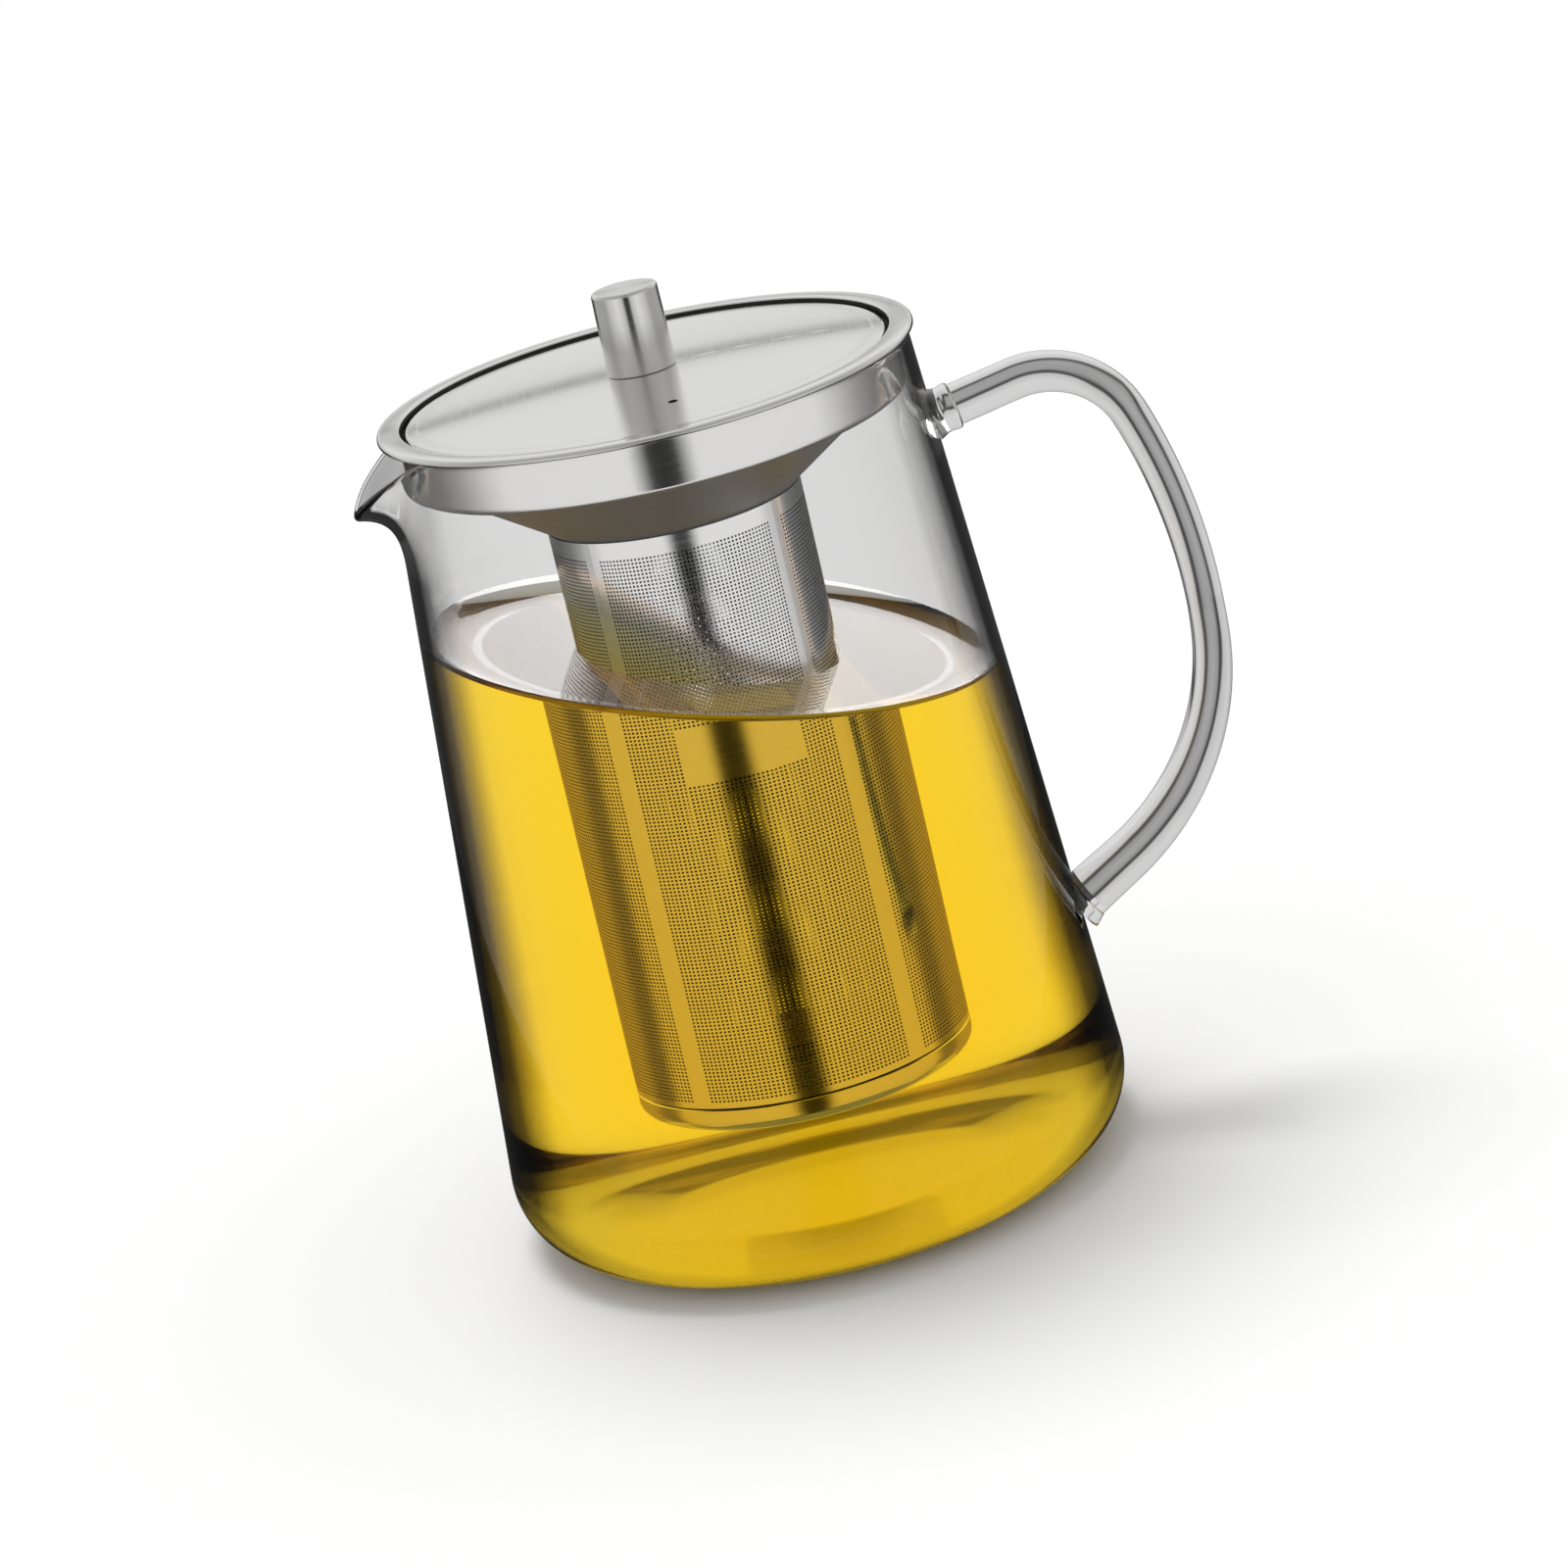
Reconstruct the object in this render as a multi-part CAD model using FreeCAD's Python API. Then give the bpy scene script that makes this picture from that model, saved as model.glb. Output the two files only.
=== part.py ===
"""Glass teapot with a lift-out steel infuser and a loose steel lid.

Millimetres. The origin is on the pot's axis, on the surface it stands on.
+Z is up, the pouring lip points to -X and the handle to +X.
"""
import FreeCAD, Part
import math
import os

Vector = FreeCAD.Vector
UP = Vector(0, 0, 1)

# Blown glass jug
rim_height = 178.6            # top of the glass rim above the table
rim_radius = 54.5             # outside of the wall at the rim
foot_line_radius = 68.0       # outside wall carried down to the table, before rounding
glass_wall = 2.2
rim_flat = 0.1                # narrow level left between the rim's two roundings
floor_thickness = 4.0
heel_round = 15.0             # outside rounding between the wall and the floor
heel_round_inside = 12.0
kick_height = 1.2             # shallow push-up in the middle of the underside
kick_radius = 26.0
foot_ring_radius = 40.0       # inner edge of the ring that the pot stands on
kick_round = 30.0

# Pouring lip, pulled out of the rim as a gutter that bends outwards
lip_gutter_radius = 15.0      # outside of the gutter
lip_throat_radius = 4.0       # hollow bend under the lip
lip_bend_angle = 78.0         # how far the gutter has turned from upright at the tip
lip_throat_drop = 20.0        # centre of that bend below the rim
lip_sink = 0.3                # how far the gutter starts inside the wall's outside
lip_reach = 9.8               # tip beyond the rim's outside
lip_tip_drop = 11.0           # poured edge at the tip below the rim
lip_edge_start = 9.0          # where the edge starts to fall, inside the rim's outside
lip_edge_round = 25.0
lip_nose_radius = 16.0        # rounding of the tip seen from above
lip_run = 16.0                # straight end of the gutter before it is trimmed
rim_trim_gap = 0.15           # trimming plane above the rim

# Solid glass handle, a flattened ribbon whose arcs each have a radius and a turn
handle_joint_drop = 22.0      # where it leaves the wall, below the flange's top
handle_rise = 11.0            # degrees above level at the upper joint
handle_top_run = 17.5
handle_top_bend = 19.8
handle_top_turn = 80.8
handle_grip_bend = 123.0
handle_grip_turn = 23.3
handle_low_bend = 56.4
handle_low_turn = 55.8
handle_width = 12.4
handle_low_width = 14.0
handle_top_thickness = 8.4
handle_grip_thickness = 7.6
handle_low_thickness = 10.4
upper_weld_length = 4.5       # fused gather between the wall and each end of the ribbon
lower_weld_length = 2.0
weld_flare = 0.8              # how far each gather spreads at the wall

# Steel infuser
flange_radius = 56.0
flange_thickness = 1.2
flange_edge_round = 0.5
seat_gap = 0.2                # flange above the rounded glass rim
mouth_clearance = 0.4         # collar inside the glass mouth
collar_sheet = 0.7
collar_mouth_round = 1.5      # bend from the flange down into the collar
collar_neck_round = 0.3       # hollow corner under the flange
collar_depth = 12.7           # bottom of the collar's wall below the flange's top
collar_heel_round = 1.2
ledge_width = 5.5             # level seat for the lid inside the collar
funnel_drop = 27.3            # top of the strainer below the flange's top
funnel_bend = 2.0
spigot_length = 4.0           # collar's spigot inside the strainer tube
lap_clearance = 0.05          # lapped sheets of the infuser
strainer_radius = 26.6
strainer_sheet = 0.6
strainer_bottom_drop = 154.5  # underside of the strainer below the flange's top
base_band = 6.0               # plain band of the pressed base
base_round = 3.5
base_spigot = 4.0             # base's joggled edge inside the tube

# Steel lid
lid_clearance = 0.8           # lid inside the collar
lid_recess = 0.75             # lid's top below the flange's top
lid_thickness = 1.2
lid_edge_round = 0.9
lid_crown = 1.8               # how far the middle of the lid stands above its edge
skirt_sheet = 0.8
skirt_clearance = 1.6         # lid's skirt inside the collar
steam_hole_radius = 1.0
steam_hole_x = 4.7
steam_hole_y = -32.0

# Knob, screwed on from below
knob_top_radius = 6.85
knob_foot_radius = 7.2
knob_height = 17.2
knob_edge_round = 0.8
knob_foot_round = 0.3
screw_radius = 2.0
screw_engagement = 10.0       # shank inside the knob
screw_clearance = 0.1
screw_head_radius = 3.8
screw_head_height = 2.4
screw_head_round = 1.2
washer_radius = 5.0
washer_thickness = 0.8
washer_gap = 0.05             # flat washer under the crowned lid

# Places that follow from the sizes above
flange_top = rim_height + seat_gap + flange_thickness
wall_slope = (foot_line_radius - rim_radius) / rim_height
wall_across = glass_wall * math.hypot(1, wall_slope)
collar_radius = rim_radius - wall_across - mouth_clearance
collar_inside = collar_radius - collar_sheet
ledge_top = flange_top - collar_depth + collar_sheet
lid_top = flange_top - lid_recess
lid_under = lid_top - lid_thickness
lid_radius = collar_inside - lid_clearance
knob_seat = lid_top + lid_crown
washer_top = lid_under + lid_crown - washer_gap
tube_top = flange_top - funnel_drop
strainer_bottom = flange_top - strainer_bottom_drop
tube_bottom = strainer_bottom + base_band
screw_hole_radius = screw_radius + screw_clearance


def wall_radius(z):
    """Outside radius of the glass wall at height z."""
    return foot_line_radius - wall_slope * z


def rounded_face(corners):
    """Face in the XZ plane through (x, z, radius) corners, each rounded by its own radius."""
    points = [Vector(x, 0, z) for x, z, radius in corners]
    count = len(corners)
    bends = []
    for i in range(count):
        radius = corners[i][2]
        into = (points[i] - points[i - 1]).normalize()
        out = (points[(i + 1) % count] - points[i]).normalize()
        half_turn = into.getAngle(out) / 2
        reach = radius * math.tan(half_turn)
        first = points[i] - into * reach
        last = points[i] + out * reach
        if radius > 0:
            inward = (out - into).normalize()
            middle = points[i] + inward * (radius / math.cos(half_turn) - radius)
            bends.append((first, middle, last))
        else:
            bends.append((first, None, last))
    edges = []
    for i in range(count):
        first, middle, last = bends[i]
        if middle is not None:
            edges.append(Part.Arc(first, middle, last).toShape())
        following = bends[(i + 1) % count][0]
        edges.append(Part.makeLine(last, following))
    return Part.Face(Part.Wire(edges))


def turned(corners):
    """Solid of revolution about the pot's axis from a rounded outline."""
    return rounded_face(corners).revolve(Vector(0, 0, 0), UP, 360)


def sheet_corners(path, thickness):
    """Outline of bent sheet: the path's (x, z, radius) side and its parallel on the left."""
    points = [Vector(x, 0, z) for x, z, radius in path]
    headings = []
    for a, b in zip(points, points[1:]):
        headings.append((b - a).normalize())
    far_side = []
    for i in range(len(path)):
        into = headings[max(i - 1, 0)]
        out = headings[min(i, len(headings) - 1)]
        left_in = Vector(-into.z, 0, into.x)
        left_out = Vector(-out.z, 0, out.x)
        across = (left_in + left_out).normalize()
        place = points[i] + across * (thickness / across.dot(left_in))
        radius = path[i][2]
        if radius > 0:
            turns_left = left_in.dot(out) > 0
            radius = radius - thickness if turns_left else radius + thickness
        far_side.append((place.x, place.z, radius))
    return list(path) + far_side[::-1]


def jug_outline_outside():
    """Outside of the jug from the middle of its underside up to the rim."""
    return [
        (0, kick_height, 0),
        (kick_radius, kick_height, kick_round),
        (foot_ring_radius, 0, kick_round),
        (foot_line_radius, 0, heel_round),
    ]


def jug_hollow(top):
    """Space inside the jug's wall, carried up to a level above the rim."""
    return turned([
        (0, floor_thickness, 0),
        (wall_radius(floor_thickness) - wall_across, floor_thickness, heel_round_inside),
        (wall_radius(top) - wall_across, top, 0),
        (0, top, 0),
    ])


def jug_block():
    """The jug as if it were filled, for trimming what is fused to its outside."""
    return turned(jug_outline_outside() + [
        (wall_radius(rim_height), rim_height, 0),
        (0, rim_height, 0),
    ])


def jug_shell():
    """Plain blown jug with a fire-polished rim, before the lip is pulled."""
    rim_round = (glass_wall - rim_flat) / 2
    return turned(jug_outline_outside() + [
        (wall_radius(rim_height), rim_height, rim_round),
        (wall_radius(rim_height) - wall_across, rim_height, rim_round),
        (wall_radius(floor_thickness) - wall_across, floor_thickness, heel_round_inside),
        (0, floor_thickness, 0),
    ])


def lip_gutter(radius):
    """Round bar of the given radius along the lip's bend and its straight end."""
    bend_z = rim_height - lip_throat_drop
    bend_x = -(wall_radius(bend_z) + lip_throat_radius - lip_sink)
    sweep = lip_throat_radius + lip_gutter_radius
    angle = math.radians(lip_bend_angle)
    start = Vector(bend_x + sweep, 0, bend_z)
    disc = Part.Face(Part.Wire(Part.makeCircle(radius, start, UP)))
    bend = disc.revolve(Vector(bend_x, 0, bend_z), Vector(0, -1, 0), lip_bend_angle)
    end = Vector(bend_x + sweep * math.cos(angle), 0, bend_z + sweep * math.sin(angle))
    heading = Vector(-math.sin(angle), 0, math.cos(angle))
    return bend.fuse(Part.makeCylinder(radius, lip_run, end, heading)).removeSplitter()


def lip_trim():
    """Everything above the falling edge of the lip."""
    half_width = rim_radius
    level = rim_height + rim_trim_gap
    start_x = -(rim_radius - lip_edge_start)
    tip_x = -(rim_radius + lip_reach)
    fall = (lip_tip_drop + rim_trim_gap) / (start_x - tip_x)
    far_x = tip_x - lip_run
    high = level + 2 * lip_gutter_radius
    face = rounded_face([
        (0, level, 0),
        (start_x, level, lip_edge_round),
        (far_x, level - fall * (start_x - far_x), 0),
        (far_x, high, 0),
        (0, high, 0),
    ])
    face.translate(Vector(0, -half_width, 0))
    return face.extrude(Vector(0, 2 * half_width, 0))


def glass_body():
    """Blown jug whose rim is pulled out into a drooping pouring lip."""
    top = rim_height + 3 * lip_gutter_radius
    channel = lip_gutter(lip_gutter_radius - glass_wall)
    nose_x = -(rim_radius + lip_reach - lip_nose_radius)
    nose = Part.makeCylinder(lip_nose_radius, top, Vector(nose_x, 0, 0), UP)
    lip = lip_gutter(lip_gutter_radius).cut(jug_hollow(top)).common(nose)
    jug = jug_shell().fuse(lip).cut(channel)
    return jug.cut(lip_trim()).removeSplitter()


def handle_path():
    """Ribbon's centre line from joint to joint, and its (point, heading) at the main stations."""
    joint_z = flange_top - handle_joint_drop
    angle = math.radians(handle_rise)
    heading = Vector(math.cos(angle), 0, math.sin(angle))
    start = Vector(wall_radius(joint_z), 0, joint_z) + heading * upper_weld_length
    point = start + heading * (handle_top_run - upper_weld_length)
    edges = [Part.makeLine(start, point)]
    stations = [(start, heading)]
    arcs = [
        (handle_top_bend, handle_top_turn),
        (handle_grip_bend, handle_grip_turn),
        (handle_low_bend, handle_low_turn),
    ]
    for radius, turn in arcs:
        centre = point + Vector(heading.z, 0, -heading.x) * radius
        places = [point]
        for share in (0.5, 1):
            turned_to = angle - math.radians(turn) * share
            heading = Vector(math.cos(turned_to), 0, math.sin(turned_to))
            places.append(centre + Vector(-heading.z, 0, heading.x) * radius)
        edges.append(Part.Arc(*places).toShape())
        angle = angle - math.radians(turn)
        point = places[-1]
        stations.append((point, heading))
    to_wall = (wall_radius(point.z) - point.x) / (heading.x + wall_slope * heading.z)
    end = point + heading * (to_wall - lower_weld_length)
    edges.append(Part.makeLine(point, end))
    stations.append((end, heading))
    return Part.Wire(edges), stations


def ribbon_section(point, heading, width, thickness):
    """Flattened oval across the ribbon."""
    side = Vector(0, width / 2, 0)
    rise = Vector(-heading.z, 0, heading.x) * (thickness / 2)
    return Part.Wire(Part.Ellipse(point + side, point + rise, point).toShape())


def glass_handle():
    """Solid ribbon, slimmest along the grip and heaviest at the lower joint."""
    path, stations = handle_path()
    upper = stations[0]
    gripped = stations[2]
    lower = stations[-1]
    ribbon = Part.BRepOffsetAPI.MakePipeShell(path)
    ribbon.setFrenetMode(True)
    ribbon.add(ribbon_section(*upper, handle_width, handle_top_thickness), False, False)
    ribbon.add(ribbon_section(*gripped, handle_width, handle_grip_thickness), False, False)
    ribbon.add(ribbon_section(*lower, handle_low_width, handle_low_thickness), False, False)
    ribbon.build()
    ribbon.makeSolid()
    return ribbon.shape()


def handle_weld(point, onward, length, width, thickness):
    """Fused gather from an end of the ribbon onward to the jug's outside."""
    reach = length + glass_wall
    foot = point + onward * reach
    grow = 2 * weld_flare * reach / length
    gather = Part.makeLoft([
        ribbon_section(point, onward, width, thickness),
        ribbon_section(foot, onward, width + grow, thickness + grow),
    ], True, True)
    return gather.cut(jug_block())


def upper_handle_weld():
    """Short stub that carries the ribbon's upper end."""
    point, heading = handle_path()[1][0]
    return handle_weld(point, heading * -1, upper_weld_length, handle_width, handle_top_thickness)


def lower_handle_weld():
    """Thin foot under the ribbon's lower end."""
    point, heading = handle_path()[1][-1]
    return handle_weld(point, heading, lower_weld_length, handle_low_width, handle_low_thickness)


def infuser_collar():
    """Deep-drawn collar: flange on the glass rim, lid seat, funnel and spigot."""
    spigot_radius = strainer_radius - strainer_sheet - lap_clearance
    under_flange = flange_top - flange_thickness
    bottom = flange_top - collar_depth
    outside = [
        (spigot_radius, tube_top - spigot_length, 0),
        (spigot_radius, tube_top, funnel_bend),
        (collar_radius - ledge_width, bottom, funnel_bend),
        (collar_radius, bottom, collar_heel_round + collar_sheet),
        (collar_radius, under_flange, collar_neck_round),
    ]
    flange = [
        (flange_radius, under_flange, flange_edge_round),
        (flange_radius, flange_top, flange_edge_round),
        (collar_inside, flange_top, collar_mouth_round),
    ]
    inside = sheet_corners(outside, collar_sheet)[len(outside) + 1:]
    return turned(outside + flange + inside)


def strainer_tube():
    """Rolled sheet tube of the strainer."""
    inside = strainer_radius - strainer_sheet
    return turned([
        (inside, tube_bottom, 0),
        (strainer_radius, tube_bottom, 0),
        (strainer_radius, tube_top, 0),
        (inside, tube_top, 0),
    ])


def strainer_base():
    """Pressed cup with a joggled edge that plugs into the tube."""
    joggle_radius = strainer_radius - strainer_sheet - lap_clearance
    joggle_rise = strainer_sheet
    cup = sheet_corners([
        (0, strainer_bottom, 0),
        (strainer_radius, strainer_bottom, base_round),
        (strainer_radius, tube_bottom - joggle_rise, 0),
        (joggle_radius, tube_bottom, 0),
        (joggle_radius, tube_bottom + base_spigot, 0),
    ], strainer_sheet)
    return turned(cup)


def lid_plate():
    """Slightly crowned lid with a rounded edge, a screw hole and a steam hole."""
    middle = lid_radius / 2
    half_turn = math.atan(lid_crown / middle) / 2
    crown_round = (middle - lid_thickness) / math.tan(half_turn)
    corners = sheet_corners([
        (0, lid_under + lid_crown, 0),
        (middle, lid_under + lid_crown, crown_round),
        (lid_radius, lid_under, 0),
    ], lid_thickness)
    edge_x, edge_z, sharp = corners[3]
    corners[3] = (edge_x, edge_z, lid_edge_round)
    plate = turned(corners)
    holes = [(0, 0, screw_hole_radius), (steam_hole_x, steam_hole_y, steam_hole_radius)]
    for x, y, radius in holes:
        drill = Part.makeCylinder(radius, lid_thickness + lid_crown, Vector(x, y, lid_under), UP)
        plate = plate.cut(drill)
    return plate


def lid_skirt():
    """Ring under the lid that keeps it centred and stands on the collar's ledge."""
    outside = collar_inside - skirt_clearance
    return turned([
        (outside - skirt_sheet, ledge_top, 0),
        (outside, ledge_top, 0),
        (outside, lid_under, 0),
        (outside - skirt_sheet, lid_under, 0),
    ])


def lid_knob():
    """Turned steel knob with a blind hole for its screw."""
    hole_top = knob_seat + screw_engagement + screw_clearance
    return turned([
        (screw_hole_radius, knob_seat, 0),
        (knob_foot_radius, knob_seat, knob_foot_round),
        (knob_top_radius, knob_seat + knob_height, knob_edge_round),
        (0, knob_seat + knob_height, 0),
        (0, hole_top, 0),
        (screw_hole_radius, hole_top, 0),
    ])


def screw_washer():
    """Flat washer between the screw's head and the lid."""
    return turned([
        (screw_hole_radius, washer_top - washer_thickness, 0),
        (washer_radius, washer_top - washer_thickness, 0),
        (washer_radius, washer_top, 0),
        (screw_hole_radius, washer_top, 0),
    ])


def knob_screw():
    """Pan-head screw up through the washer and the lid into the knob."""
    head_top = washer_top - washer_thickness
    shank_top = knob_seat + screw_engagement
    return turned([
        (0, head_top - screw_head_height, 0),
        (screw_head_radius, head_top - screw_head_height, screw_head_round),
        (screw_head_radius, head_top, 0),
        (screw_radius, head_top, 0),
        (screw_radius, shank_top, 0),
        (0, shank_top, 0),
    ])


def main():
    pieces = {
        "glass_body": glass_body(),
        "glass_handle": glass_handle(),
        "upper_handle_weld": upper_handle_weld(),
        "lower_handle_weld": lower_handle_weld(),
        "infuser_collar": infuser_collar(),
        "strainer_tube": strainer_tube(),
        "strainer_base": strainer_base(),
        "lid_plate": lid_plate(),
        "lid_skirt": lid_skirt(),
        "lid_knob": lid_knob(),
        "screw_washer": screw_washer(),
        "knob_screw": knob_screw(),
    }
    os.makedirs("parts", exist_ok=True)
    for name, shape in pieces.items():
        print(f"{name}: valid {shape.isValid()}, solids {len(shape.Solids)}, volume {shape.Volume:.0f} mm3")
        shape.exportStep(f"parts/{name}.step")


main()
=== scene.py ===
"""Looks of the glass teapot: blown glass, drawn and brushed steel, a perforated strainer and tea.

Sizes are millimetres in the pot's own frame, and are scaled to metres when a mesh is made.
+Z is up the pot's axis, the pouring lip points to -X and the handle to +X.
"""
import math

import bpy
import numpy as np
from mathutils import Matrix, Vector


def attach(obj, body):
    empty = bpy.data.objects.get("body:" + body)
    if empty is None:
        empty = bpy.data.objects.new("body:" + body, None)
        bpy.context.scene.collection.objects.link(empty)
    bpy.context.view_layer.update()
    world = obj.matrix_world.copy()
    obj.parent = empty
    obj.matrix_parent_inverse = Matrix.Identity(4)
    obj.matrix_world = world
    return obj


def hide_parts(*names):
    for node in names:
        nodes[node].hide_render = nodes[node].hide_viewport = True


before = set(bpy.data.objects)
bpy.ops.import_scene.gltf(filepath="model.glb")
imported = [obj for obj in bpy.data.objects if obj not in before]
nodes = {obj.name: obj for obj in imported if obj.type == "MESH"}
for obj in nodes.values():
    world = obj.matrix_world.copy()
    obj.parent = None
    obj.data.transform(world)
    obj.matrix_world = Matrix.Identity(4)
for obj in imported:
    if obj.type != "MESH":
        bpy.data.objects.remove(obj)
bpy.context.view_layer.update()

MM = 0.001
FLANGE_TOP = 180.0
ROUND_ANGLES = np.radians(np.arange(0, 360, 2.0))

# Glass jug
RIM_HEIGHT = 178.6
RIM_RADIUS = 54.5
FOOT_LINE_RADIUS = 68.0
GLASS_WALL = 2.2
FLOOR_THICKNESS = 4.0
HEEL_ROUND = 15.0
HEEL_ROUND_INSIDE = 12.0
KICK_HEIGHT = 1.2
KICK_RADIUS = 26.0
FOOT_RING_RADIUS = 40.0
KICK_ROUND = 30.0

# Pouring lip, a smooth pull of the upper wall
LIP_ROOT = 152.0
LIP_HALF_ANGLE = math.radians(30.0)
LIP_REACH = 9.8
LIP_DROP = 13.0
LIP_TURN = math.radians(80.0)
LIP_PULL = 7.0
LIP_PEAK = 0.12
LIP_FALL_CURVE = 1.25
LIP_FINE_ANGLE = 36.0
LIP_FINE_STEP = 0.75
LIP_COARSE_STEP = 2.0
LIP_ROWS = 25
RIM_POINTS = 13

# Handle ribbon, whose arcs are (radius, turn in degrees)
HANDLE_JOINT_DROP = 22.0
HANDLE_RISE = math.radians(11.0)
HANDLE_TOP_RUN = 17.5
HANDLE_ARCS = ((19.8, 80.8), (123.0, 23.3), (56.4, 55.8))
HANDLE_WIDTH = 12.4
HANDLE_LOW_WIDTH = 14.0
HANDLE_TOP_THICKNESS = 8.4
HANDLE_GRIP_THICKNESS = 7.6
HANDLE_LOW_THICKNESS = 10.4
UPPER_WELD_LENGTH = 4.5
LOWER_WELD_LENGTH = 2.0
WELD_INTO_WALL = 0.6
WELD_OVER_RIBBON = 0.4
OVAL_SQUARENESS = 2.3
OVAL_POINTS = 64
GRIP_PLACE = 0.55
TOP_RUN_POINTS = 15
ARC_POINTS = 33
LOW_RUN_POINTS = 12

# Infuser collar
COLLAR_RADIUS = 51.894
COLLAR_SHEET = 0.7
COLLAR_DEPTH = 12.7
COLLAR_BEND = 1.9
FLANGE_RADIUS = 56.0
FLANGE_THICKNESS = 1.2
FLANGE_CREST = 0.9
FLANGE_HEM = 0.25
MOUTH_ROUND = 0.25
MOUTH_EDGE = 1.1 * MOUTH_ROUND
MOUTH_SHADE = 2.0
LEDGE_WIDTH = 5.5
SPIGOT_RADIUS = 25.95
SPIGOT_LENGTH = 4.0
FUNNEL_BEND = 2.0
COLLAR_STEP = math.radians(9.0)
# Finishes by material slot; the second is near-black steel, painted shade for the dark gap inside the
# mouth.
POLISHED, SHADE_PAINTED, SATIN = 0, 1, 2

# Strainer sheet
STRAINER_RADIUS = 26.6
STRAINER_SHEET = 0.6
STRAINER_TOP = 152.7
STRAINER_BOTTOM = 31.5
STRAINER_TOP_BAND = 3.5
STRAINER_BOTTOM_BAND = 1.2
STRIP_HALF_ANGLE = math.radians(3.8)
FIRST_STRIP = math.radians(-44.0)
PANELS = 4
HOLE_COLUMNS = 47
HOLE_ROWS = 145
HOLE_SHARE = 0.52
PLATE_ANGLE = math.radians(4.8)
PLATE_WIDTH = 22.0
PLATE_HEIGHT = 12.0
PLATE_MIDDLE = 107.5

# Tea
TEA_LEVEL = 120.0
TEA_SLOPE = 0.2686
TEA_INTO_GLASS = 0.3
TEA_WALL_START = FLOOR_THICKNESS + HEEL_ROUND_INSIDE + 2.0
TEA_WALL_ROWS = 25
MENISCUS = 2.6
MENISCUS_REACH = 1.9
MENISCUS_RINGS = (0.0, 0.25, 0.5, 0.8, 1.2, 1.7, 2.4, 3.2, 4.2, 5.6, 7.5, 10.0)
SURFACE_SHARES = (0.85, 0.7, 0.5, 0.3, 0.1)

# Clear materials: refraction, and the colour that light takes on along its way
GLASS_IOR = 1.47
GLASS_COLOR = (0.56, 0.56, 0.55)
GLASS_DENSITY = 30.0
TEA_IOR = 1.333
TEA_COLOR = (0.985, 0.875, 0.0)
TEA_DENSITY = 36.0

# Painted edge shade on glass, darker where the wall is seen at a slant, which fades out at the foot, on
# the lip and round the upper weld
EDGE_SHADE_SHARE = "edge_shade_share"
CLEAR_BELOW = -2.0
LIP_CLEAR_SHARE = 1.3
LIP_CLEAR_RISE = 8.0
WELD_CLEAR_ANGLE = math.radians(5.0)
WELD_CLEAR_SHARE = 3.5
WELD_CLEAR_TOP = FLANGE_TOP - 12.0
WELD_CLEAR_RISE = 2.0
FAINT_MIRROR = 0.08

# Studio: light levels, heights of a ray's direction, and counts of surfaces passed and mirrors met
BOX_SPACING = 22.5
BOX_TILT = 0.33
FLOOR_LIGHT = 0.68
EMPTY_GLASS_LIGHT = 0.74
STEEP_TEA_LIGHT = 0.4
STEEP_MIRROR_LIGHT = 0.3
MENISCUS_LIGHT = 0.3
HEM_LIGHT = 0.03
BASE_LIGHT = 0.92
BASE_SHADE = 0.12
TEA_WARMTH = (0.95, 0.78, 0.66, 1)
UPWARD = 0.02
MENISCUS_HEIGHT = 0.36
LID_HEIGHT = 0.5
SLIT_TOP = -0.1
HEM_HEIGHT = -0.28
BOX_HEIGHT = -0.3
STEEP_HEIGHT = -0.6
SLIT_BOTTOM = -0.75
JUG_PASSES = 2.5
TEA_PASSES = 5.5
BASE_PASSES = 7.5
ONE_MIRROR = 0.5
TWO_MIRRORS = 1.5

# Floor and lamp
FLOOR_RADIUS = 1500.0
FLOOR_HEIGHT = -0.2
FLOOR_SIDES = 96
LAMP_ENERGY = 1.3
LAMP_ANGLE = math.radians(28.0)
LAMP_DIRECTION = (0.12, -0.28, -1.0)

# Camera
CAMERA_DISTANCE = 1026.961
CAMERA_ELEVATION = math.radians(17.731)
CAMERA_ROLL = math.radians(-13.085)
CAMERA_AIM = (8.984, 0.0, 87.552)
CAMERA_LENS = 112.5
CAMERA_SENSOR = 36.0

WALL_SLOPE = (FOOT_LINE_RADIUS - RIM_RADIUS) / RIM_HEIGHT
WALL_ACROSS = GLASS_WALL * math.hypot(1, WALL_SLOPE)


def wall_radius(z):
    """Outside radius of the glass wall at height z."""
    return FOOT_LINE_RADIUS - WALL_SLOPE * z


def unit(v):
    """Vectors scaled to length 1."""
    return v / np.linalg.norm(v, axis=-1, keepdims=True)


def rounded(corners, step=math.radians(2.5)):
    """Points (r, z) along an open outline whose (r, z, radius) corners are rounded."""
    path = [np.array(corners[0][:2], float)]
    for before, here, after in zip(corners, corners[1:], corners[2:]):
        corner = np.array(here[:2], float)
        into = unit(corner - np.array(before[:2], float))
        out = unit(np.array(after[:2], float) - corner)
        turn = math.atan2(into[0] * out[1] - into[1] * out[0], into.dot(out))
        radius = here[2]
        if radius == 0:
            path.append(corner)
            continue
        side = math.copysign(1, turn)
        first = corner - into * radius * math.tan(abs(turn) / 2)
        centre = first + side * radius * np.array([-into[1], into[0]])
        spoke = first - centre
        count = max(2, math.ceil(abs(turn) / step))
        for share in np.linspace(0, 1, count + 1):
            c, s = math.cos(turn * share), math.sin(turn * share)
            path.append(centre + np.array([c * spoke[0] - s * spoke[1], s * spoke[0] + c * spoke[1]]))
    path.append(np.array(corners[-1][:2], float))
    return np.array(path)


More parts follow.
